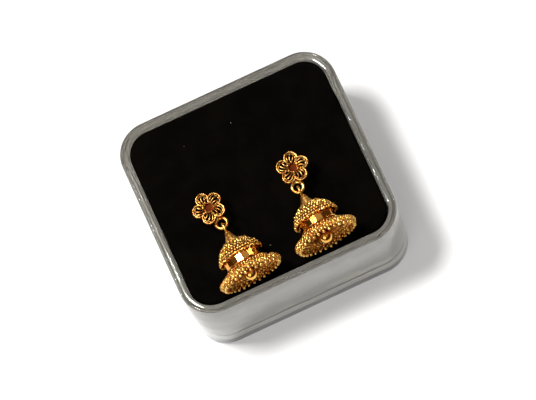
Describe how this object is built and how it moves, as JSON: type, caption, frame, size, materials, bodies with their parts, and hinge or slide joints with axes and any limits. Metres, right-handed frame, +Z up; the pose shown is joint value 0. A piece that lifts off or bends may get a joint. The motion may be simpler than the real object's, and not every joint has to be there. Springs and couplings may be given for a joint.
{
  "type": "pair of jhumka earrings in a clear display box",
  "caption": "Pair of gold bell earrings with filigree flower studs and beaded rims, pinned on a black foam pad in an open clear plastic box.",
  "frame": {"origin": "middle of the box's underside", "axes": "+Z up out of the open mouth of the box, +X to the right across the two earrings, +Y away from the bells' mouths"},
  "size_m": [0.0604, 0.055, 0.0512],
  "materials": {
    "clear_plastic": "clear moulded plastic, polished, very slightly smoky, with a soft edge glow",
    "black_foam": "matte black flocked foam, fine soft nap",
    "gold_filigree": "yellow gold wire work, bright on the wires, darker in the gaps",
    "gold_wire": "plain polished yellow gold wire",
    "gold_granulated": "yellow gold covered in fine soldered grains",
    "gold_beaded": "mirror polished band, grained brim and small bright beads in yellow gold",
    "gold_polished": "polished yellow gold ball and wire"
  },
  "bodies": {
    "root": {"clear_box": "clear_plastic", "foam_pad": "black_foam", "left_stud": "gold_filigree", "left_eye_pin": "gold_wire", "left_bell_cap": "gold_granulated", "left_bell_bowl": "gold_beaded", "left_clapper": "gold_polished", "right_stud": "gold_filigree", "right_eye_pin": "gold_wire", "right_bell_cap": "gold_granulated", "right_bell_bowl": "gold_beaded", "right_clapper": "gold_polished"}
  },
  "joints": []
}
